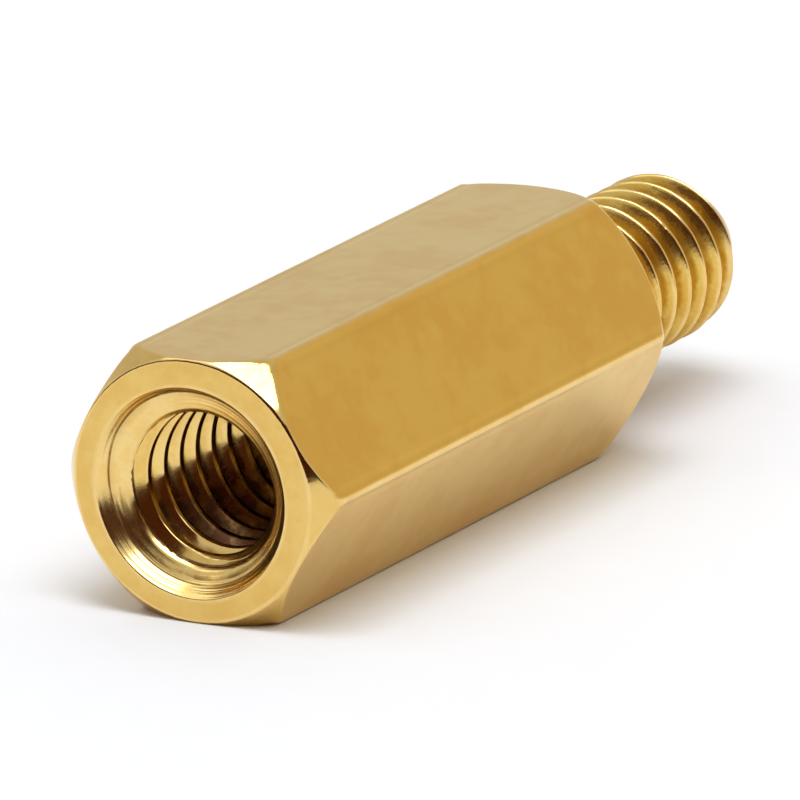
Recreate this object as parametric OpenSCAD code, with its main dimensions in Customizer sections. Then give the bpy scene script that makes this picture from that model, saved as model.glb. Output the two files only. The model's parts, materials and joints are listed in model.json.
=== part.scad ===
// Male-female hexagonal standoff, turned from one length of brass hexagon bar.
// The bar lies along X on one of its flats, with +Z up: tapped hole towards -X, stud towards +X.
// The origin is on the axis of both threads, halfway along the whole piece. Dimensions are in millimetres.
// Both threads are M4 x 0.7, and both walls are drawn plain at the diameter over their thread crests.

/* [Hexagon bar] */
// Width of the bar from flat to flat
across_flats = 6; // [5:0.1:10]
// Length of the hexagonal body between its two end faces
body_length = 16; // [14:0.5:60]
// Radius along the bar's six drawn corners
corner_radius = 0.2; // [0.05:0.05:0.5]

/* [End chamfers] */
// Angle of the chamfer at the hole end, measured from the end face
hole_end_angle = 52; // [40:1:60]
// How far inside the bar's flats the chamfer at the hole end begins
hole_end_inset = 0.03; // [-0.15:0.01:0.3]
// Angle of the chamfer at the stud end, measured from the end face
stud_end_angle = 48; // [40:1:60]
// How far inside the bar's flats the chamfer at the stud end begins
stud_end_inset = 0.3; // [0.1:0.01:0.5]

/* [Stud] */
// Length of the stud from the shoulder to its tip
stud_length = 6.3; // [4:0.1:20]
// Diameter over the stud's thread crests
stud_diameter = 3.86; // [3.6:0.01:4.6]
// Depth of the plain neck beside the shoulder, below the thread crests
neck_depth = 0.18; // [0.1:0.01:0.4]
// Length of the plain neck, up to where the thread runs out
neck_length = 0.6; // [0.3:0.05:1]
// Radius that the tool's nose leaves in the corner between neck and shoulder
neck_corner_radius = 0.2; // [0.05:0.05:0.25]
// Length of the tapered point behind the tip's face
point_length = 1.2; // [0.8:0.05:1.5]
// How far the point narrows on each side, down to the rounded edge of its face
point_narrowing = 0.63; // [0.3:0.01:0.9]
// Radius of the rounded edge around the tip's face
tip_radius = 0.14; // [0.05:0.01:0.3]

/* [Tapped hole] */
// Diameter of the hole over its thread crests, as drilled
hole_diameter = 3.3; // [3:0.01:4]
// Depth of the hole at its full diameter
hole_depth = 11; // [8:0.5:11]
// Angle of the drilled bottom, from wall to wall
drill_point_angle = 118; // [90:1:140]
// Diameter of the countersunk mouth
mouth_diameter = 4.8; // [4.2:0.05:4.9]
// Angle of the countersink, from wall to wall
mouth_angle = 90; // [60:1:120]

/* [Hidden] */
$fn = 96;

overall_length = body_length + stud_length;

// Each corner circle stands this share of its radius past its two flats, so that arc and flat cross cleanly
corner_overlap = 0.02;

// Distances from the axis to a sharp corner and to the centre of its rounding
sharp_corner = across_flats / sqrt(3);
corner_inset = corner_radius * (1 - corner_overlap);
corner_centre = sharp_corner - corner_inset / cos(30);

// Radii where the end chamfers meet the two end faces
hole_end_radius = across_flats / 2 - hole_end_inset;
stud_end_radius = across_flats / 2 - stud_end_inset;

// Depths of the two cones of the hole
mouth_depth = (mouth_diameter - hole_diameter) / 2 / tan(mouth_angle / 2);
drill_point_length = hole_diameter / 2 / tan(drill_point_angle / 2);

// Radii of the stud: over the thread crests, at the neck, where the shoulder's flat begins, and at the end of the point
crest_radius = stud_diameter / 2;
neck_radius = crest_radius - neck_depth;
shoulder_radius = neck_radius + neck_corner_radius;
point_radius = crest_radius - point_narrowing;
tip_face_radius = point_radius - tip_radius;

// Length over which the thread runs out at 45 degrees from its crests down to the neck
run_out_length = neck_depth;

// Radius of a turned blank that passes well clear of the bar
clear_of_bar = across_flats;

// How far the stud is drawn into the bar, and the hole out of it, so that the solids cross instead of touching
stud_root = 1;
hole_lead = 1;

// Lays a shape that was drawn up the Z axis along +X, centred on the origin
module along_x() {
    translate([-overall_length / 2, 0, 0]) rotate([0, 90, 0]) children();
}

// A regular hexagon with a corner on the first axis
module hexagon(corner_distance) {
    circle(r = corner_distance, $fn = 6);
}

// Section of the drawn bar: a hexagon whose corners are cut straight across, then filled out by small circles
module bar_section() {
    corner_cut = corner_centre + corner_inset * cos(30);
    rotate(30) intersection() {
        hexagon(sharp_corner);
        union() {
            rotate(30) hexagon(corner_cut / cos(30));
            for (corner = [0 : 5])
                rotate(60 * corner) translate([corner_centre, 0]) circle(r = corner_radius);
        }
    }
}

// Outline that the lathe leaves at both ends of the bar: two cones, with the bar's corners between them
module turned_ends() {
    rotate_extrude() polygon([
        [0, 0],
        [hole_end_radius, 0],
        [clear_of_bar, (clear_of_bar - hole_end_radius) * tan(hole_end_angle)],
        [clear_of_bar, body_length - (clear_of_bar - stud_end_radius) * tan(stud_end_angle)],
        [stud_end_radius, body_length],
        [0, body_length]
    ]);
}

// Stud: neck with a rounded inner corner, thread run-out, threaded length at crest diameter, tapered rounded point
module stud() {
    translate([0, 0, body_length]) rotate_extrude() {
        difference() {
            polygon([
                [0, -stud_root],
                [shoulder_radius, -stud_root],
                [shoulder_radius, 0],
                [neck_radius, neck_corner_radius],
                [neck_radius, neck_length],
                [crest_radius, neck_length + run_out_length],
                [crest_radius, stud_length - point_length],
                [point_radius, stud_length - tip_radius],
                [tip_face_radius, stud_length],
                [0, stud_length]
            ]);
            translate([shoulder_radius, neck_corner_radius]) circle(r = neck_corner_radius);
        }
        translate([tip_face_radius, stud_length - tip_radius]) intersection() {
            circle(r = tip_radius);
            square(tip_radius);
        }
    }
}

// Tapped hole: countersunk mouth, drilled wall and drill point
module tapped_hole() {
    rotate_extrude() polygon([
        [0, -hole_lead],
        [mouth_diameter / 2 + hole_lead * tan(mouth_angle / 2), -hole_lead],
        [hole_diameter / 2, mouth_depth],
        [hole_diameter / 2, hole_depth],
        [0, hole_depth + drill_point_length]
    ]);
}

module hex_standoff() {
    color([0.80, 0.64, 0.32])
        along_x()
            difference() {
                union() {
                    intersection() {
                        linear_extrude(height = body_length) bar_section();
                        turned_ends();
                    }
                    stud();
                }
                tapped_hole();
            }
}

hex_standoff();
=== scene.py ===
"""Male-female hexagonal standoff in brass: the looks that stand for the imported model.

The bar lies along X on one of its flats: tapped hole towards -X, stud towards +X, origin on the axis.
Lengths of the piece are worked in millimetres and turned into metres when the mesh is made.
"""
import json
import math

import bmesh
import bpy
import numpy as np
from mathutils import Matrix, Vector

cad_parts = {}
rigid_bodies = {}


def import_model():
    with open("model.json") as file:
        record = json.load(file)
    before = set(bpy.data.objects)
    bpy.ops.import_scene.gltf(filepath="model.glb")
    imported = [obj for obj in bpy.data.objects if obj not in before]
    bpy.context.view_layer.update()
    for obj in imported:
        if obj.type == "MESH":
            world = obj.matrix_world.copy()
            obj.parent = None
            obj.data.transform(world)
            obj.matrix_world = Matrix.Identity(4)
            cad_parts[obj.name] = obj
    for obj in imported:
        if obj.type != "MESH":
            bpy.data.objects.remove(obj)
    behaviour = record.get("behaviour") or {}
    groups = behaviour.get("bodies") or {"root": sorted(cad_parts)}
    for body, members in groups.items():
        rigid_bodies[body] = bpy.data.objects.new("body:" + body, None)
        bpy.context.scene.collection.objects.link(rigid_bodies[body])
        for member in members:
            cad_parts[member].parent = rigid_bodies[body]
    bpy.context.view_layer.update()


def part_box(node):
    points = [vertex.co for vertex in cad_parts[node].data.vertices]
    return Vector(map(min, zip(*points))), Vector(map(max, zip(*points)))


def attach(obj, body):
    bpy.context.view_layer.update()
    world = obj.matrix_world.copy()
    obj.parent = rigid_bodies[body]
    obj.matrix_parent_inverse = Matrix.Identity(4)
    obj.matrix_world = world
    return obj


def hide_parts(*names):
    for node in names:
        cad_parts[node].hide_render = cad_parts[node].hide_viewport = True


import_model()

# ------------------------------------------------------------------------------------------------
# Bench, studio and camera
# The standoff lies on a plain white bench, in a pale room, under a long softbox that reaches over it.
# A dark screen stands round the camera's side, because bright brass only shows its edges against
# something dark. Lengths in this section are metres.
# ------------------------------------------------------------------------------------------------
scene_objects = bpy.context.scene.collection.objects
piece_low, piece_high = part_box("hex_standoff")
bench_gap = 0.00001
bench_height = piece_low.z - bench_gap
bench_radius = 1.6
bench_white = (0.93, 0.94, 0.955, 1.0)


def feed(tree, value, socket):
    """Links a node's output to a socket, or sets the socket to a plain value."""
    if isinstance(value, bpy.types.NodeSocket):
        tree.links.new(value, socket)
    else:
        socket.default_value = value


def between(tree, value, low, high, to_low=0.0, to_high=1.0):
    """Eases a value that runs from low to high into one that runs from to_low to to_high."""
    ramp = tree.nodes.new("ShaderNodeMapRange")
    ramp.interpolation_type = "SMOOTHSTEP"
    feed(tree, value, ramp.inputs["Value"])
    ramp.inputs["From Min"].default_value = low
    ramp.inputs["From Max"].default_value = high
    ramp.inputs["To Min"].default_value = to_low
    ramp.inputs["To Max"].default_value = to_high
    return ramp.outputs["Result"]


def cloud(tree, place, scale, detail, roughness=0.55):
    """Soft random clouds, so many to one unit of the place."""
    noise = tree.nodes.new("ShaderNodeTexNoise")
    feed(tree, place, noise.inputs["Vector"])
    feed(tree, scale, noise.inputs["Scale"])
    noise.inputs["Detail"].default_value = detail
    noise.inputs["Roughness"].default_value = roughness
    return noise.outputs["Fac"]


def dye(tree, share, plain, dyed, blend="MIX"):
    """Mixes a second colour into the first by a share."""
    mix = tree.nodes.new("ShaderNodeMix")
    mix.data_type = "RGBA"
    mix.blend_type = blend
    feed(tree, share, mix.inputs["Factor"])
    feed(tree, plain, mix.inputs["A"])
    feed(tree, dyed, mix.inputs["B"])
    return mix.outputs["Result"]


def dull_material(name, roughness):
    """A material for what stands round the piece, with hardly any shine of its own."""
    material = bpy.data.materials.new(name)
    material.use_nodes = True
    shader = material.node_tree.nodes["Principled BSDF"]
    shader.inputs["Roughness"].default_value = roughness
    shader.inputs["Specular IOR Level"].default_value = 0.1
    return material, material.node_tree, shader


# The bench: white board with a fine paper grain.
bpy.ops.mesh.primitive_circle_add(
    vertices=96, radius=bench_radius, fill_type="NGON", location=(0.0, 0.0, bench_height)
)
bench = bpy.context.object
bench.name = "bench"
bench_paint, paint_tree, paint_shader = dull_material("bench_paint", 0.7)
paper_place = paint_tree.nodes.new("ShaderNodeTexCoord").outputs["Object"]
paper_grain = cloud(paint_tree, paper_place, 900.0, 4.0, roughness=0.5)
paper_tone = paint_tree.nodes.new("ShaderNodeMapRange")
paper_tone.inputs["To Min"].default_value = 0.98
feed(paint_tree, paper_grain, paper_tone.inputs["Value"])
paper_colour = dye(paint_tree, 1.0, bench_white, paper_tone.outputs["Result"], "MULTIPLY")
feed(paint_tree, paper_colour, paint_shader.inputs["Base Color"])
bench.data.materials.append(bench_paint)

# The softbox: a long lamp overhead, from in front of the hole end to behind it.
softbox_distance = 0.75
softbox_slide = 0.15
softbox_direction = Vector((-0.388, -0.133, 0.912)).normalized()
softbox_long = Vector((0.238, 0.941, 0.239))
softbox_long = (softbox_long - softbox_long.dot(softbox_direction) * softbox_direction).normalized()
softbox_short = softbox_long.cross(softbox_direction)
softbox_place = softbox_direction * softbox_distance + softbox_slide * softbox_short
softbox_turn = Matrix((softbox_short, softbox_long, softbox_direction)).transposed().to_4x4()
softbox_lamp = bpy.data.lights.new("softbox", "AREA")
softbox_lamp.shape = "RECTANGLE"
softbox_lamp.size = 0.32
softbox_lamp.size_y = 0.70
softbox_lamp.energy = 3.65
softbox_lamp.color = (0.955, 0.985, 1.06)
softbox = bpy.data.objects.new("softbox", softbox_lamp)
softbox.matrix_world = Matrix.Translation(softbox_place) @ softbox_turn
scene_objects.link(softbox)

# A weaker lamp on the left fills the shadow beside the hole end.
fill_distance = 0.75
fill_direction = Vector((-0.22, 0.48, 0.85)).normalized()
fill_turn = fill_direction.to_track_quat("Z", "Y").to_matrix().to_4x4()
fill_lamp = bpy.data.lights.new("fill", "AREA")
fill_lamp.shape = "DISK"
fill_lamp.size = 0.46
fill_lamp.energy = 0.35
fill = bpy.data.objects.new("fill", fill_lamp)
fill.matrix_world = Matrix.Translation(fill_direction * fill_distance) @ fill_turn
scene_objects.link(fill)

# The dark screen: a curved wall on the camera's side, open above. It is tallest in front of the hole end,
# and lower and paler at its far end. Its heights are degrees above the bench, at degrees clockwise from +X.
screen_reach = 0.42
screen_heights = {95: 38, 118: 38, 133: 35, 150: 38, 180: 44, 192: 41, 205: 31, 224: 26, 250: 24}
screen_turns = np.linspace(95, 250, 32)
screen_rises = np.interp(screen_turns, list(screen_heights), list(screen_heights.values()))
screen_points = []
for turn, rise in zip(np.radians(-screen_turns), np.radians(screen_rises)):
    for z in (0.0, screen_reach * math.tan(rise)):
        screen_points.append((screen_reach * math.cos(turn), screen_reach * math.sin(turn), bench_height + z))
screen_panels = []
for panel in range(len(screen_turns) - 1):
    screen_panels.append((2 * panel, 2 * panel + 2, 2 * panel + 3, 2 * panel + 1))
screen_mesh = bpy.data.meshes.new("dark_screen")
screen_mesh.from_pydata(screen_points, [], screen_panels)
screen = bpy.data.objects.new("dark_screen", screen_mesh)
screen.visible_camera = False
scene_objects.link(screen)
screen_cloth, cloth_tree, cloth_shader = dull_material("screen_cloth", 0.9)
cloth_axes = cloth_tree.nodes.new("ShaderNodeSeparateXYZ")
feed(cloth_tree, cloth_tree.nodes.new("ShaderNodeTexCoord").outputs["Object"], cloth_axes.inputs["Vector"])
far_share = between(cloth_tree, cloth_axes.outputs["Y"], 0.10, 0.36)
cloth_colour = dye(cloth_tree, far_share, (0.060, 0.014, 0.003, 1.0), (0.20, 0.13, 0.045, 1.0))
feed(cloth_tree, cloth_colour, cloth_shader.inputs["Base Color"])
screen_mesh.materials.append(screen_cloth)

# The room: pale walls, a little dimmer higher up, with a warm card far off to the right.
room = bpy.data.worlds.new("pale_room")
bpy.context.scene.world = room
room.use_nodes = True
room_tree = room.node_tree
room_place = room_tree.nodes.new("ShaderNodeTexCoord").outputs["Generated"]
room_axes = room_tree.nodes.new("ShaderNodeSeparateXYZ")
feed(room_tree, room_place, room_axes.inputs["Vector"])
wall_tone = room_tree.nodes.new("ShaderNodeValToRGB")
wall_tone.color_ramp.elements[0].color = (0.85, 0.85, 0.85, 1.0)
wall_tone.color_ramp.elements[1].color = (0.65, 0.65, 0.65, 1.0)
for height, tone in ((0.38, 0.64), (0.60, 0.65)):
    wall_tone.color_ramp.elements.new(height).color = (tone, tone, tone, 1.0)
feed(room_tree, room_axes.outputs["Z"], wall_tone.inputs["Fac"])
toward_card = room_tree.nodes.new("ShaderNodeVectorMath")
toward_card.operation = "DOT_PRODUCT"
feed(room_tree, room_place, toward_card.inputs[0])
toward_card.inputs[1].default_value = (0.83, -0.46, 0.31)
card_share = between(room_tree, toward_card.outputs["Value"], 0.70, 0.96)
card_tint = dye(room_tree, card_share, (1.0, 1.0, 1.0, 1.0), (1.03, 0.865, 0.54, 1.0))
room_colour = dye(room_tree, 1.0, wall_tone.outputs["Color"], card_tint, "MULTIPLY")
feed(room_tree, room_colour, room_tree.nodes["Background"].inputs["Color"])

# The camera stands at the hole end, a little above the bench, and is tipped by a degree or two.
camera_place = Vector((-0.37015, -0.21371, 0.12021))
camera_aim = Vector((-0.00067, 0.00074, -0.00073))
camera_roll = Matrix.Rotation(math.radians(-1.71), 4, "Z")
camera_data = bpy.data.cameras.new("camera")
camera_data.sensor_width = 36.0
camera_data.lens = 896.29
camera_data.clip_start = 0.01
camera = bpy.data.objects.new("camera", camera_data)
level_turn = (camera_aim - camera_place).normalized().to_track_quat("-Z", "Y").to_matrix().to_4x4()
camera.matrix_world = Matrix.Translation(camera_place) @ level_turn @ camera_roll
scene_objects.link(camera)
bpy.context.scene.camera = camera
bpy.context.scene.view_settings.view_transform = "Standard"

# ------------------------------------------------------------------------------------------------
# The hexagon body
# Drawn brass hexagon, 6 mm across its flats, with small round corners. Both ends are turned back to a
# cone, so every flat ends in an arc. Tumbling has broken the sharp edges.
# ------------------------------------------------------------------------------------------------
mm_per_metre = 1000
hole_end = round(mm_per_metre * piece_low.x, 3)
stud_tip = round(mm_per_metre * piece_high.x, 3)
across_flats = round(mm_per_metre * (piece_high.z - piece_low.z), 3)
body_length = 16.0
shoulder = hole_end + body_length

# Each corner's rounding stands 2% of its radius past both flats, as in the solid.
flat_span = math.radians(60)
half_span = math.radians(30)
corner_round = 0.2
corner_centre = across_flats / math.sqrt(3) - 0.98 * corner_round / math.cos(half_span)

# The end face is crowned a little, and the two cones rise from it and from the shoulder.
end_face_radius = 2.97
face_crown = 0.03
hole_end_rise = math.tan(math.radians(52))
shoulder_radius = 2.70
stud_end_rise = math.tan(math.radians(48))

# The plain neck, up to the ring where the stud's thread takes over.
neck_radius = 1.75
neck_corner = 0.2
neck_end = shoulder + 0.55


def spoke_angles():
    """Angles round the axis, close together on the bar's round corners and wider across its flats."""
    round_half = math.atan2(corner_round / 2, corner_centre + corner_round * math.cos(half_span))
    on_corner = np.linspace(-round_half, round_half, 9)
    across = np.linspace(0, 1, 19)[1:-1]
    drawn_to_corners = across - 0.11 * np.sin(2 * math.pi * across)
    on_flat = round_half + (flat_span - 2 * round_half) * drawn_to_corners
    one_sixth = np.concatenate([on_corner, on_flat])
    return np.concatenate([one_sixth + math.radians(60 * side) for side in range(6)])


spokes = spoke_angles()


def from_corner(angle):
    """Angle to the nearest of the hexagon's corners."""
    return (angle + half_span) % flat_span - half_span


def bar_radius(angle):
    """How far the drawn bar's surface lies from the axis in one direction."""
    off_corner = from_corner(angle)
    flat = across_flats / 2 / np.cos(half_span - abs(off_corner))
    inside = corner_round ** 2 - (corner_centre * np.sin(off_corner)) ** 2
    if inside <= 0:
        return flat
    return min(flat, corner_centre * np.cos(off_corner) + math.sqrt(inside))


def wander(angle, seed):
    """A slow, repeating unevenness between -1 and 1, as hand and machine leave on metal."""
    return (
        0.40 * np.sin(3 * angle + 1.3 * seed)
        + 0.35 * np.sin(7 * angle + 2.1 * seed + 0.8)
        + 0.25 * np.sin(17 * angle + 3.7 * seed + 2.0)
    )


def clipped(value):
    """The value, held between 0 and 1."""
    return min(1.0, max(0.0, value))


# The countersink: a steep rim, a flatter step, then a cone. The sink leaned a little and stood a few
# hundredths off the hole's axis, so the step is flatter on its upper side. Radii go with the depths.
mouth_radius = 2.4
bore_radius = 1.65
mouth_depth = 0.84
low_sink_depths = [0.0, 0.29, 0.50, mouth_depth]
low_sink_radii = [mouth_radius, 2.17, 1.905, bore_radius]
high_sink_depths = [0.0, 0.21, 0.47, 0.60]
high_sink_radii = [mouth_radius, 2.24, 1.77, bore_radius]
high_sink_angle = math.radians(80)
sink_offset = 0.06
sink_offset_angle = math.radians(-50)

# The ring inside the countersink where the body's skin meets the hole's.
mouth_ring = hole_end + 0.36


def upper_share(angle):
    """How much of the upper side's outline the countersink has in one direction."""
    return clipped(0.5 + 0.8 * math.cos(angle - high_sink_angle))


def countersink(depth, angle):
    """Radius of the countersunk mouth at a depth below the end face."""
    low_radius = np.interp(depth, low_sink_depths, low_sink_radii)
    high_radius = np.interp(depth, high_sink_depths, high_sink_radii)
    radius = low_radius + (high_radius - low_radius) * upper_share(angle)
    offset = sink_offset * math.cos(angle - sink_offset_angle)
    return radius + offset * np.interp(depth, [0.0, mouth_depth], [1, 0])


def rim_depth(angle):
    """Depth at which the rim of the countersink turns into its step."""
    return low_sink_depths[1] + (high_sink_depths[1] - low_sink_depths[1]) * upper_share(angle)


# Tumbling rounds the six points most, and one point at the hole end has been knocked down a little.
edge_ease = 0.045
point_ease = 0.13
point_span = math.radians(5)
knock_drop = 0.11
knock_angle = math.radians(121)
knock_span = math.radians(9)


def body_outline(angle):
    """The bar's outline in one direction, as (x, radius, ease) corners.

    It runs from inside the countersink, over the body, to the end of the stud's neck.
    """
    bar = bar_radius(angle)
    worn = edge_ease + point_ease * math.exp(-((from_corner(angle) / point_span) ** 2))
    knocked = knock_drop * math.exp(-(((angle - knock_angle) / knock_span) ** 2))
    rim = rim_depth(angle)
    corners = [
        (mouth_ring, countersink(mouth_ring - hole_end, angle), 0.01),
        (hole_end + rim, countersink(rim, angle), 0.02),
        (hole_end, countersink(0.0, angle), 0.022),
        (hole_end + face_crown, end_face_radius, edge_ease),
        (hole_end + face_crown + (bar - end_face_radius) * hole_end_rise + knocked, bar, worn),
        (shoulder - (bar - shoulder_radius) * stud_end_rise, bar, worn),
        (shoulder, shoulder_radius, 0.04),
    ]
    for turn in np.radians(np.linspace(0, 90, 7)):
        x = shoulder + neck_corner * (1 - math.cos(turn))
        corners.append((x, neck_radius + neck_corner * (1 - math.sin(turn)), 0.02))
    corners.append((neck_end, neck_radius, 0.02))
    return corners


def ease_outline(corners, stops, wear):
    """Points along a bent line of (x, radius, ease) corners, each bend rounded by averaging over its ease.

    Each stop is (corner number, distance past it in mm).
    """
    closest = 0.003
    corners = np.array(corners, float)
    reach_to = np.concatenate([[0.0], np.cumsum(np.hypot(*np.diff(corners[:, :2], axis=0).T))])
    along = np.sort([reach_to[corner] + past for corner, past in stops])
    for row in range(1, len(along)):
        along[row] = max(along[row], along[row - 1] + closest)
    along = np.clip(along, 0.0, reach_to[-1])
    taps = np.linspace(-1, 1, 13)
    points = []
    for place in along:
        nearest = np.argmin(abs(reach_to - place))
        reach = min(corners[nearest, 2] * wear, place, reach_to[-1] - place)
        x = np.interp(place + reach * taps, reach_to, corners[:, 0]).mean()
        radius = np.interp(place + reach * taps, reach_to, corners[:, 1]).mean()
        points.append((x, radius))
    return np.array(points)


# Where the outline gets its points: close together over each bend, far apart along the flats.
over_rim = [-0.03, -0.02, -0.01, 0.0, 0.01, 0.02, 0.03]
over_edge = [-0.06, -0.045, -0.03, -0.015, 0.0, 0.015, 0.03, 0.045, 0.06]
to_arc = [-0.18, -0.14, -0.105, -0.075, -0.05, -0.03, -0.015]
over_arc = to_arc + [0.0] + [-past for past in to_arc[::-1]]
body_stops = [(0, 0.0)]
body_stops += [(1, past) for past in over_rim + [0.1, 0.2]]
body_stops += [(2, past) for past in over_rim + [0.12, 0.22, 0.34, 0.46]]
body_stops += [(3, past) for past in over_edge]
body_stops += [(4, past) for past in over_arc + [0.26, 0.5, 1.5, 3.0, 5.0, 7.0]]
body_stops += [(5, past) for past in [-6.0, -4.0, -2.5, -1.2, -0.5, -0.26] + over_arc]
body_stops += [(6, past) for past in [-0.5, -0.3, -0.12] + over_edge + [0.15, 0.3, 0.45, 0.6, 0.69]]
body_stops += [(corner, 0.0) for corner in range(7, 14)]
body_stops += [(13, past) for past in (0.04, 0.08, 0.12, 0.16, 0.20, 0.24, 0.28)]
body_stops += [(14, 0.0)]

# Every skin of the piece: its points, its faces and each face's finish. The finishes are numbered in the
# order in which the mesh takes them at the end.
skins = []
drawn, turned, countersunk, rolled, tapped = range(5)


def turned_skin(outlines, finish):
    """Faces between neighbouring outlines, one outline to each spoke."""
    count = len(spokes)
    rows = len(outlines[0])
    points = []
    for outline, angle in zip(outlines, spokes):
        for x, radius in outline:
            points.append((x, radius * math.cos(angle), radius * math.sin(angle)))
    faces = []
    finishes = []
    for spoke in range(count):
        here = spoke * rows
        there = (spoke + 1) % count * rows
        for row in range(rows - 1):
            faces.append((here + row, there + row, there + row + 1, here + row + 1))
            finishes.append(finish(row))
    skins.append((points, faces, finishes))


body_outlines = []
for angle in spokes:
    body_outlines.append(ease_outline(body_outline(angle), body_stops, 1.0 + 0.25 * wander(angle, 1)))

# The tool's ridges round the neck.
ridges_from = shoulder + 0.2
ridges_to = shoulder + 0.54
ridge_pitch = 0.17
ridge_height = 0.008
for outline in body_outlines:
    on_ridges = (outline[:, 0] > ridges_from) & (outline[:, 0] < ridges_to)
    past = outline[on_ridges, 0] - ridges_from
    outline[on_ridges, 1] += ridge_height * np.sin(past / ridge_pitch * 2 * math.pi)

mouth_row = body_stops.index((2, 0.0))
hole_arc_row = body_stops.index((4, 0.0))
stud_arc_row = body_stops.index((5, 0.0))


def body_finish(row):
    """Which tool made one row of the body."""
    if row < mouth_row:
        return countersunk
    if hole_arc_row <= row < stud_arc_row:
        return drawn
    return turned


turned_skin(body_outlines, body_finish)


def work_out(tree, operation, first, second):
    """One step of arithmetic."""
    step = tree.nodes.new("ShaderNodeMath")
    step.operation = operation
    feed(tree, first, step.inputs[0])
    feed(tree, second, step.inputs[1])
    return step.outputs[0]


def with_share(tree, base, extra, share):
    """A base value with a share of another one added to it."""
    total = work_out(tree, "MULTIPLY_ADD", extra, share)
    feed(tree, base, total.node.inputs[2])
    return total


def stretched(tree, place, along, turned_by=(0.0, 0.0, 0.0)):
    """The same place, turned and then pulled out along its axes."""
    mapping = tree.nodes.new("ShaderNodeMapping")
    feed(tree, place, mapping.inputs["Vector"])
    mapping.inputs["Rotation"].default_value = turned_by
    mapping.inputs["Scale"].default_value = along
    return mapping.outputs["Vector"]


def effect(name, takes, makes):
    """An empty node group for one effect on the metal, with its named inputs and outputs."""
    tree = bpy.data.node_groups.new(name, "ShaderNodeTree")
    for label, kind in takes:
        tree.interface.new_socket(name=label, in_out="INPUT", socket_type=kind)
    for label, kind in makes:
        tree.interface.new_socket(name=label, in_out="OUTPUT", socket_type=kind)
    return tree, tree.nodes.new("NodeGroupInput").outputs, tree.nodes.new("NodeGroupOutput").inputs


vector, number, colour = "NodeSocketVector", "NodeSocketFloat", "NodeSocketColor"

# Brass darkens and reddens in soft patches.
tarnish, takes, makes = effect(
    "brass_tarnish",
    [("Place", vector), ("Patches per mm", number), ("Clean", colour), ("Stained", colour)],
    [("Colour", colour), ("Stain", number)],
)
broad_patch = cloud(tarnish, takes["Place"], takes["Patches per mm"], 3.0)
fine_scale = work_out(tarnish, "MULTIPLY", takes["Patches per mm"], 5.0)
fine_patch = cloud(tarnish, takes["Place"], fine_scale, 2.0)
both_patches = with_share(tarnish, work_out(tarnish, "MULTIPLY", broad_patch, 0.7), fine_patch, 0.3)
stain = between(tarnish, both_patches, 0.38, 0.62)
feed(tarnish, dye(tarnish, stain, takes["Clean"], takes["Stained"]), makes["Colour"])
feed(tarnish, stain, makes["Stain"])

# Fine straight lines that the die leaves along the drawn bar, a few of them deep.
drawn_lines, takes, makes = effect(
    "drawn_lines",
    [("Place", vector), ("Marks per mm", number)],
    [("Marks", number)],
)
line_place = stretched(drawn_lines, takes["Place"], (0.008, 1.0, 1.0))
fine_lines = cloud(drawn_lines, line_place, takes["Marks per mm"], 2.0)
few_lines = cloud(drawn_lines, line_place, work_out(drawn_lines, "MULTIPLY", takes["Marks per mm"], 0.3), 1.0)
deep_lines = between(drawn_lines, few_lines, 0.64, 0.76, 0.0, -0.7)
feed(drawn_lines, work_out(drawn_lines, "ADD", fine_lines, deep_lines), makes["Marks"])

# Fine rings that the tool leaves on a turned end.
turned_rings, takes, makes = effect(
    "turned_rings",
    [("Place", vector), ("Marks per mm", number)],
    [("Marks", number)],
)
ring_axes = turned_rings.nodes.new("ShaderNodeSeparateXYZ")
feed(turned_rings, takes["Place"], ring_axes.inputs["Vector"])
ring_radius = turned_rings.nodes.new("ShaderNodeVectorMath")
ring_radius.operation = "LENGTH"
feed(turned_rings, stretched(turned_rings, takes["Place"], (0.0, 1.0, 1.0)), ring_radius.inputs[0])
ring_waver = cloud(turned_rings, takes["Place"], 0.5, 1.0)
ring_place = turned_rings.nodes.new("ShaderNodeCombineXYZ")
ring_reach = with_share(turned_rings, ring_radius.outputs["Value"], ring_waver, 0.05)
feed(turned_rings, ring_reach, ring_place.inputs["X"])
feed(turned_rings, ring_axes.outputs["X"], ring_place.inputs["Y"])
ring_marks = cloud(turned_rings, ring_place.outputs["Vector"], takes["Marks per mm"], 2.0)
feed(turned_rings, ring_marks, makes["Marks"])

# Scratches and nicks from tumbling together with other parts.
tumbling, takes, makes = effect(
    "tumbling_marks",
    [("Place", vector), ("Marks per mm", number)],
    [("Scratches", number), ("Nicks", number)],
)
scratches = 0.0
for turned_by in ((0.3, 0.9, 0.5), (1.2, 2.2, 0.2), (2.1, 0.4, 1.7)):
    scratch_place = stretched(tumbling, takes["Place"], (0.06, 1.0, 1.0), turned_by)
    scratch = cloud(tumbling, scratch_place, takes["Marks per mm"], 1.0)
    scratches = work_out(tumbling, "MAXIMUM", scratches, between(tumbling, scratch, 0.66, 0.76))
feed(tumbling, scratches, makes["Scratches"])
nick_field = cloud(tumbling, takes["Place"], takes["Marks per mm"], 0.0)
feed(tumbling, between(tumbling, nick_field, 0.72, 0.84), makes["Nicks"])

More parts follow.
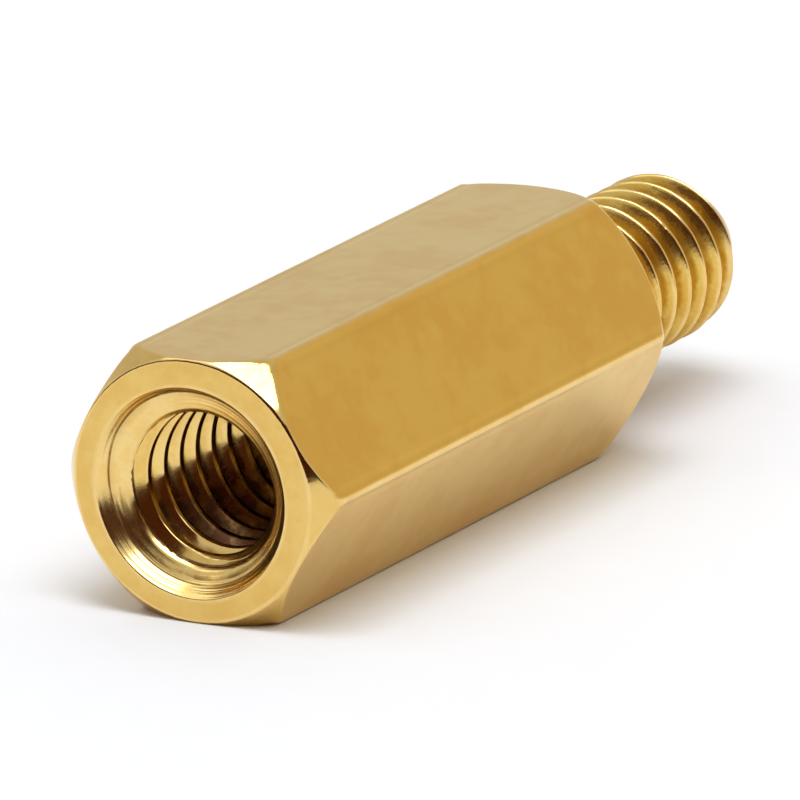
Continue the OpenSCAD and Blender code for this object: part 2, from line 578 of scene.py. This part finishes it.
# Rubbed bright on sharp edges; darker in tight inside corners, and painted shade in the bottom of a thread.
wear_and_hollow_shade, takes, makes = effect(
    "wear_and_hollow_shade",
    [("Place", vector), ("Bend", number), ("Sunk", number), ("Shade Reach", number)],
    [("Worn", number), ("Shaded", number)],
)
wear_patch = between(wear_and_hollow_shade, cloud(wear_and_hollow_shade, takes["Place"], 1.6, 4.0), 0.30, 0.62, 0.35, 1.0)
sharp_edge = between(wear_and_hollow_shade, takes["Bend"], 0.7, 3.0)
feed(wear_and_hollow_shade, work_out(wear_and_hollow_shade, "MULTIPLY", sharp_edge, wear_patch), makes["Worn"])
# Painted shade: the deeper a point has sunk into its thread, the darker it is painted, in soft patches.
shade_patch = cloud(wear_and_hollow_shade, takes["Place"], 2.3, 4.0)
corner_darkening = between(wear_and_hollow_shade, takes["Bend"], -0.4, -2.6)
shade_depth = work_out(wear_and_hollow_shade, "ADD", takes["Sunk"], takes["Shade Reach"])
deep_shade = between(wear_and_hollow_shade, with_share(wear_and_hollow_shade, shade_depth, shade_patch, 0.5), 1.05, 1.40)
all_shade = work_out(wear_and_hollow_shade, "MAXIMUM", corner_darkening, deep_shade)
shade_strength = between(wear_and_hollow_shade, shade_patch, 0.30, 0.55, 0.6, 1.0)
feed(wear_and_hollow_shade, work_out(wear_and_hollow_shade, "MULTIPLY", all_shade, shade_strength), makes["Shaded"])


def placed(tree, group, values):
    """Puts an effect into a material with that material's own values."""
    node = tree.nodes.new("ShaderNodeGroup")
    node.node_tree = group
    for label, value in values.items():
        feed(tree, value, node.inputs[label])
    return node.outputs


def kept_value(tree, name):
    """A value that the mesh keeps at each of its points."""
    keeper = tree.nodes.new("ShaderNodeAttribute")
    keeper.attribute_name = name
    return keeper.outputs["Fac"]


rubbed_brass = (0.87, 0.62, 0.24, 1.0)
scratched_brass = (0.88, 0.64, 0.27, 1.0)
knocks_per_mm = 4.0
grains_per_mm = 14.0
swells_per_mm = 0.45
swell_height = 12.0


def brass(
    name, clean, stained, patches_per_mm, tool_marks, marks_per_mm, mark_depth, grain_depth, knock_depth,
    roughness, shade_colour, reach,
):
    """Bare brass with one tool's marks and painted shade in its hollows. Depths are in thousandths of a
    millimetre.
    """
    material = bpy.data.materials.new(name)
    material.use_nodes = True
    tree = material.node_tree
    shader = tree.nodes["Principled BSDF"]
    shader.inputs["Metallic"].default_value = 1.0
    metres = tree.nodes.new("ShaderNodeTexCoord").outputs["Object"]
    place = stretched(tree, metres, (mm_per_metre, mm_per_metre, mm_per_metre))

    metal = placed(tree, tarnish, {
        "Place": place, "Patches per mm": patches_per_mm, "Clean": clean, "Stained": stained,
    })
    marks = placed(tree, tool_marks, {"Place": place, "Marks per mm": marks_per_mm})["Marks"]
    knocks = placed(tree, tumbling, {"Place": place, "Marks per mm": knocks_per_mm})
    edges = placed(tree, wear_and_hollow_shade, {
        "Place": place, "Shade Reach": reach,
        "Bend": kept_value(tree, "bend"), "Sunk": kept_value(tree, "sunk"),
    })
    grain = cloud(tree, place, grains_per_mm, 3.0)
    swell = cloud(tree, place, swells_per_mm, 2.0)

    # Colour: tarnished metal, rubbed edges, scratches, then the painted shade of hollows over all.
    rubbed = dye(tree, edges["Worn"], metal["Colour"], rubbed_brass)
    scratch_share = work_out(tree, "MULTIPLY", knocks["Scratches"], 0.15 * knock_depth)
    scratched = dye(tree, scratch_share, rubbed, scratched_brass)
    shaded_colour = dye(tree, edges["Shaded"], scratched, shade_colour)
    feed(tree, shaded_colour, shader.inputs["Base Color"])

    # Stains, grain and the painted shade in hollows make it duller, and rubbing polishes it.
    dull = with_share(tree, roughness, metal["Stain"], 0.04)
    dull = with_share(tree, dull, grain, 0.08)
    dull = with_share(tree, dull, edges["Shaded"], 0.16)
    dull = with_share(tree, dull, edges["Worn"], -0.05)
    feed(tree, work_out(tree, "SUBTRACT", dull, 0.04), shader.inputs["Roughness"])

    # Relief: the tool's marks and the grain on a slow swell, with scratches and nicks sunk into them.
    height = work_out(tree, "MULTIPLY", marks, mark_depth)
    height = with_share(tree, height, grain, grain_depth)
    height = with_share(tree, height, swell, swell_height)
    height = with_share(tree, height, knocks["Scratches"], -0.8 * knock_depth)
    height = with_share(tree, height, knocks["Nicks"], -4.0 * knock_depth)
    relief = tree.nodes.new("ShaderNodeBump")
    relief.inputs["Distance"].default_value = 1e-6
    feed(tree, height, relief.inputs["Height"])
    feed(tree, relief.outputs["Normal"], shader.inputs["Normal"])
    return material


# The brown that darkens tight inside corners of the drawn, turned and countersunk brass.
corner_brown = (0.30, 0.15, 0.03, 1.0)

# Drawn flats: smooth, with faint lines along the bar and a few knocks.
brass_drawn = brass(
    "brass_drawn", clean=(0.81, 0.560, 0.165, 1.0), stained=(0.77, 0.495, 0.128, 1.0), patches_per_mm=0.45,
    tool_marks=drawn_lines, marks_per_mm=14.0, mark_depth=0.55,
    grain_depth=0.5, knock_depth=0.25, roughness=0.22, shade_colour=corner_brown, reach=0.0,
)

# Turned ends: the brightest faces, cut fresh by a fine tool.
brass_turned = brass(
    "brass_turned", clean=(0.80, 0.55, 0.17, 1.0), stained=(0.76, 0.485, 0.13, 1.0), patches_per_mm=0.8,
    tool_marks=turned_rings, marks_per_mm=16.0, mark_depth=0.8,
    grain_depth=0.5, knock_depth=0.5, roughness=0.12, shade_colour=corner_brown, reach=0.0,
)

# Countersunk mouth: the sink chattered and left deeper rings.
brass_countersunk = brass(
    "brass_countersunk", clean=(0.91, 0.67, 0.26, 1.0), stained=(0.87, 0.60, 0.20, 1.0), patches_per_mm=1.5,
    tool_marks=turned_rings, marks_per_mm=10.0, mark_depth=13.0,
    grain_depth=0.8, knock_depth=0.3, roughness=0.18, shade_colour=corner_brown, reach=0.0,
)

# ------------------------------------------------------------------------------------------------
# The stud
# M4 x 0.7 thread, rolled on the turned blank, so its crests stand proud of the plain neck.
# It fades out before the neck and starts on the tapered point.
# ------------------------------------------------------------------------------------------------
pitch = 0.7
half_pitch = pitch / 2
stud_crest = 1.93
stud_root = 1.55
crest_flat = 0.07
crest_ease = 0.036
thread_rise = math.tan(math.radians(30))

# The thread grows out of the neck between these two places.
run_out_from = shoulder + 0.56
run_out_to = shoulder + 1.20

# The tapered point and the rounded edge of its face. The thread stops partway down the taper.
tip_round = 0.14
point_length = 1.2
point_narrowing = 0.63
point_start = stud_tip - point_length
point_slope = point_narrowing / (point_length - tip_round)
point_end = stud_tip - 0.53

# Rolling leaves a wavering seam along the crest, and the flanks are never quite even.
seam_half_width = 0.022
seam_depth = 0.016
unevenness = 0.004


def thread_profile(low, high, high_flat, ease):
    """One pitch of a 60 degree thread: radius against distance from the middle of its high part."""
    flank = (high - low) * thread_rise
    knots = np.array([0.0, high_flat / 2, high_flat / 2 + flank, half_pitch])
    levels = np.array([high, high, low, low])
    steps = np.linspace(-half_pitch, half_pitch, 281)
    taps = np.linspace(-ease, ease, 13)
    away = np.abs((steps[:, None] + taps[None, :] + half_pitch) % pitch - half_pitch)
    return steps, np.interp(away, knots, levels).mean(axis=1)


def off_high_part(x, angle, start):
    """Distance along the axis to the thread's nearest high part: a crest on the stud, a root in the hole."""
    return (x - start - pitch * angle / (2 * math.pi) + half_pitch) % pitch - half_pitch


def both_sides(side):
    """Places along one pitch: the middle of each part, and equal steps to either side of the high one."""
    side = np.array(side)
    return np.sort(np.concatenate([[-half_pitch, 0.0], side, -side]))


def thread_skin(x_from, x_to, start, offsets, radius_at, finish):
    """Skin of a right-hand thread between two flat rings.

    Its rows follow the helix and its columns the spokes. Points closer to a ring than the gap are left out.
    """
    count = len(spokes)
    per_turn = len(offsets)
    gap = 0.4 * pitch / per_turn
    points = []
    columns = []
    for angle in spokes:
        first = math.floor((x_from - start) / pitch) - 2
        last = math.ceil((x_to - start) / pitch) + 2
        keys = []
        for turn in range(first, last):
            for order, offset in enumerate(offsets):
                x = start + pitch * (turn + angle / (2 * math.pi)) + offset
                if x_from + gap < x < x_to - gap:
                    keys.append((turn * per_turn + order, x))
        column = {"start": len(points)}
        ring = [("start", x_from)] + keys + [("end", x_to)]
        for key, x in ring:
            column[key] = len(points)
            radius = radius_at(x, angle)
            points.append((x, radius * math.cos(angle), radius * math.sin(angle)))
        column["keys"] = [key for key, x in keys]
        columns.append(column)
    faces = []
    for spoke in range(count):
        here = columns[spoke]
        there = columns[(spoke + 1) % count]
        shift = 0 if spoke + 1 < count else per_turn
        here_keys = here["keys"]
        there_keys = [key - shift for key in there["keys"]]
        shared = [key for key in here_keys if key in set(there_keys)]
        low, high = shared[0], shared[-1]
        early_here = [here["start"]] + [here[key] for key in here_keys if key <= low]
        early_there = [there["start"]] + [there[key + shift] for key in there_keys if key <= low]
        late_here = [here[key] for key in here_keys if key >= high] + [here["end"]]
        late_there = [there[key + shift] for key in there_keys if key >= high] + [there["end"]]
        faces.append(tuple(early_here[::-1] + early_there))
        for lower, upper in zip(shared, shared[1:]):
            faces.append((here[lower], there[lower + shift], there[upper + shift], here[upper]))
        faces.append(tuple(late_here[::-1] + late_there))
    skins.append((points, faces, [finish] * len(faces)))


stud_steps, stud_levels = thread_profile(stud_root, stud_crest, crest_flat, crest_ease)


def stud_surface(x, angle):
    """Radius of the stud: rolled thread, growing out of the neck and cut back by the tapered point."""
    off = off_high_part(x, angle, shoulder)
    level = np.interp(off, stud_steps, stud_levels)
    along = x / pitch * 2 * math.pi
    seam = max(0.0, 0.5 + wander(along / 9 + angle, 2)) * math.exp(-((off / seam_half_width) ** 2))
    level -= seam_depth * seam
    level += unevenness * wander(angle + along / 5, 3)
    grown = clipped((x - run_out_from) / (run_out_to - run_out_from))
    grown = grown * grown * (3 - 2 * grown)
    radius = neck_radius + (level - neck_radius) * grown
    return min(radius, stud_crest - max(0.0, x - point_start) * point_slope)


stud_offsets = both_sides([0.012, 0.024, 0.036, 0.05, 0.065, 0.09, 0.15, 0.21, 0.24, 0.265, 0.29, 0.32])
thread_skin(neck_end, point_end, shoulder, stud_offsets, stud_surface, rolled)


def closing_face(x, radius):
    """A small flat face that closes a skin on the axis."""
    rim = [(x, radius * math.cos(angle), radius * math.sin(angle)) for angle in spokes]
    skins.append((rim, [tuple(range(len(spokes)))], [turned]))


# The rest of the point is plain and turned: its taper, its rounded edge and its face.
tip_radius = stud_crest - point_narrowing
tip_centre = 0.05
tip_outline = [(point_end, stud_crest - (point_end - point_start) * point_slope)]
tip_outline.append((stud_tip - tip_round, tip_radius))
for turn in np.radians(np.linspace(15, 90, 6)):
    x = stud_tip - tip_round * (1 - math.sin(turn))
    tip_outline.append((x, tip_radius - tip_round * (1 - math.cos(turn))))
tip_outline += [(stud_tip, 0.8), (stud_tip, 0.4), (stud_tip, tip_centre)]
turned_skin([np.array(tip_outline)] * len(spokes), lambda row: turned)
closing_face(stud_tip, tip_centre)

# Rolled stud: duller, with painted brown shade in the bottom of its thread.
brass_rolled = brass(
    "brass_rolled", clean=(0.81, 0.55, 0.13, 1.0), stained=(0.76, 0.47, 0.09, 1.0), patches_per_mm=1.4,
    tool_marks=turned_rings, marks_per_mm=9.0, mark_depth=2.0,
    grain_depth=2.0, knock_depth=0.8, roughness=0.21, shade_colour=(0.56, 0.28, 0.022, 1.0), reach=0.50,
)

# ------------------------------------------------------------------------------------------------
# The tapped hole
# Drilled 3.3 mm, countersunk, then tapped M4 x 0.7: crests stay at the drilled wall, roots are cut into
# it. The first groove breaks out through the countersink, and the tap's lead makes the last turns shallow.
# ------------------------------------------------------------------------------------------------
hole_root = 2.06
root_flat = 0.06
root_ease = 0.015
hole_bottom = hole_end + 11.0
tapped_to = hole_end + 9.3
tap_lead = 1.3

# The first groove begins this far down and deepens this fast.
groove_start = 0.3
groove_growth = 1.7

hole_steps, hole_levels = thread_profile(bore_radius, hole_root, root_flat, root_ease)


def hole_surface(x, angle):
    """Radius of the hole: tapped groove, or the countersink where that is wider."""
    off = off_high_part(x, angle, hole_end)
    level = np.interp(off, hole_steps, hole_levels)
    depth = x - hole_end
    cut = min(clipped((tapped_to - x) / tap_lead), clipped((depth - groove_start) * groove_growth))
    level = min(level, bore_radius + (hole_root - bore_radius) * cut)
    return max(level, countersink(depth, angle), bore_radius)


# The thread's mesh is finest at the mouth, where it is seen, and coarser further down.
middle_ring = hole_end + 1.1
far_ring = hole_end + 5.5
near_offsets = np.linspace(-half_pitch, half_pitch, 51)[:-1]
middle_offsets = both_sides([0.016, 0.03, 0.046, 0.15, 0.251, 0.266, 0.282])
far_offsets = np.array([-half_pitch, -0.25, -0.04, 0.0, 0.04, 0.25])
thread_skin(mouth_ring, middle_ring, hole_end, near_offsets, hole_surface, tapped)

# What the thread leaves of the countersink keeps the sink's own finish.
mouth_points, mouth_faces, mouth_finishes = skins[-1]
for face_number, face in enumerate(mouth_faces):
    x, y, z = np.mean([mouth_points[corner] for corner in face], axis=0)
    sink_radius = countersink(x - hole_end, math.atan2(z, y))
    if bore_radius + 0.01 < math.hypot(y, z) < sink_radius + 0.004:
        mouth_finishes[face_number] = countersunk

thread_skin(middle_ring, far_ring, hole_end, middle_offsets, hole_surface, tapped)
thread_skin(far_ring, tapped_to, hole_end, far_offsets, hole_surface, tapped)

# Below the thread: the plain drilled wall, then the drill's 118 degree point.
drill_point = bore_radius / math.tan(math.radians(59))
drill_outline = [(tapped_to, bore_radius), (hole_bottom - 0.8, bore_radius), (hole_bottom, bore_radius)]
for share in (0.3, 0.6, 0.97):
    drill_outline.append((hole_bottom + drill_point * share, bore_radius * (1 - share)))
turned_skin([np.array(drill_outline)] * len(spokes), lambda row: turned)
closing_face(*drill_outline[-1])

# Tapped hole: pale fresh flanks, and painted dark shade in the bottom of its thread and along its lower side.
brass_tapped = brass(
    "brass_tapped", clean=(0.88, 0.62, 0.20, 1.0), stained=(0.80, 0.52, 0.14, 1.0), patches_per_mm=1.2,
    tool_marks=turned_rings, marks_per_mm=9.0, mark_depth=1.0,
    grain_depth=0.6, knock_depth=0.0, roughness=0.12, shade_colour=(0.21, 0.095, 0.050, 1.0), reach=0.1,
)

# ------------------------------------------------------------------------------------------------
# One piece of brass
# All the skins above meet in shared rings and close into one solid piece. How sharply the surface bends
# is kept at each of its points: worn edges and darkened inside corners both follow it.
# ------------------------------------------------------------------------------------------------
metres_per_mm = 0.001
weld_distance = 2e-7
sharp_angle = math.radians(38)

all_points = []
all_faces = []
all_finishes = []
for points, faces, finishes in skins:
    base = len(all_points)
    all_points += [(metres_per_mm * x, metres_per_mm * y, metres_per_mm * z) for x, y, z in points]
    all_faces += [tuple(base + corner for corner in face) for face in faces]
    all_finishes += finishes
standoff_mesh = bpy.data.meshes.new("standoff")
standoff_mesh.from_pydata(all_points, [], all_faces)
standoff_mesh.polygons.foreach_set("material_index", all_finishes)

welded = bmesh.new()
welded.from_mesh(standoff_mesh)
bmesh.ops.remove_doubles(welded, verts=welded.verts, dist=weld_distance)
bmesh.ops.dissolve_degenerate(welded, edges=welded.edges, dist=weld_distance / 2)
bmesh.ops.recalc_face_normals(welded, faces=welded.faces)
welded.to_mesh(standoff_mesh)
welded.free()
standoff_mesh.polygons.foreach_set("use_smooth", [True] * len(standoff_mesh.polygons))

# Bend at each point, per millimetre: how far the surface turns along the edges that meet there.
point_count = len(standoff_mesh.vertices)
places = np.empty(3 * point_count)
standoff_mesh.vertices.foreach_get("co", places)
places = places.reshape(-1, 3) * mm_per_metre
facings = np.empty(3 * point_count)
standoff_mesh.vertex_normals.foreach_get("vector", facings)
facings = facings.reshape(-1, 3)
edge_ends = np.empty(2 * len(standoff_mesh.edges), np.int32)
standoff_mesh.edges.foreach_get("vertices", edge_ends)
start_points, end_points = edge_ends.reshape(-1, 2).T
span = places[end_points] - places[start_points]
swing = facings[end_points] - facings[start_points]
edge_bends = (span * swing).sum(axis=1) / np.maximum((span ** 2).sum(axis=1), 1e-6)
neighbours = np.bincount(start_points, minlength=point_count) + np.bincount(end_points, minlength=point_count)
neighbours = np.maximum(neighbours, 1)


def gather(start_values, end_values):
    """Mean, at each point, of what its edges bring to it."""
    from_starts = np.bincount(start_points, end_values, point_count)
    from_ends = np.bincount(end_points, start_values, point_count)
    return (from_starts + from_ends) / neighbours


surface_bend = gather(edge_bends, edge_bends)
for smoothing in range(2):
    surface_bend = 0.5 * surface_bend + 0.5 * gather(surface_bend[start_points], surface_bend[end_points])
bend_layer = standoff_mesh.attributes.new("bend", "FLOAT", "POINT")
bend_layer.data.foreach_set("value", surface_bend.astype(np.float32))

# How far each point has sunk from the crest towards the root of its thread.
off_axis = np.hypot(places[:, 1], places[:, 2])
on_stud = (places[:, 0] > neck_end) & (places[:, 0] <= point_end)
in_hole = (places[:, 0] > mouth_ring) & (places[:, 0] < hole_bottom) & (off_axis < hole_root + 0.05)
sunk = np.zeros(point_count)
sunk[on_stud] = (stud_crest - off_axis[on_stud]) / (stud_crest - stud_root)
sunk[in_hole] = (off_axis[in_hole] - bore_radius) / (hole_root - bore_radius)

# Painted shade: the hole is darkened along its lower side, growing from 1 to 1.9 mm below the end face, and
# added to how far each point has sunk.
low_side_shade = np.interp(-places[:, 2], [-0.1, 1.0], [0, 1])
low_side_shade *= np.interp(places[:, 0] - hole_end, [1.0, 1.9], [0, 1])
sunk[in_hole] += low_side_shade[in_hole]
sunk_layer = standoff_mesh.attributes.new("sunk", "FLOAT", "POINT")
sunk_layer.data.foreach_set("value", np.clip(sunk, 0, 1).astype(np.float32))

standoff_mesh.set_sharp_from_angle(angle=sharp_angle)
for finish in (brass_drawn, brass_turned, brass_countersunk, brass_rolled, brass_tapped):
    standoff_mesh.materials.append(finish)
standoff = bpy.data.objects.new("standoff", standoff_mesh)
scene_objects.link(standoff)

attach(standoff, "root")
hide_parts("hex_standoff")
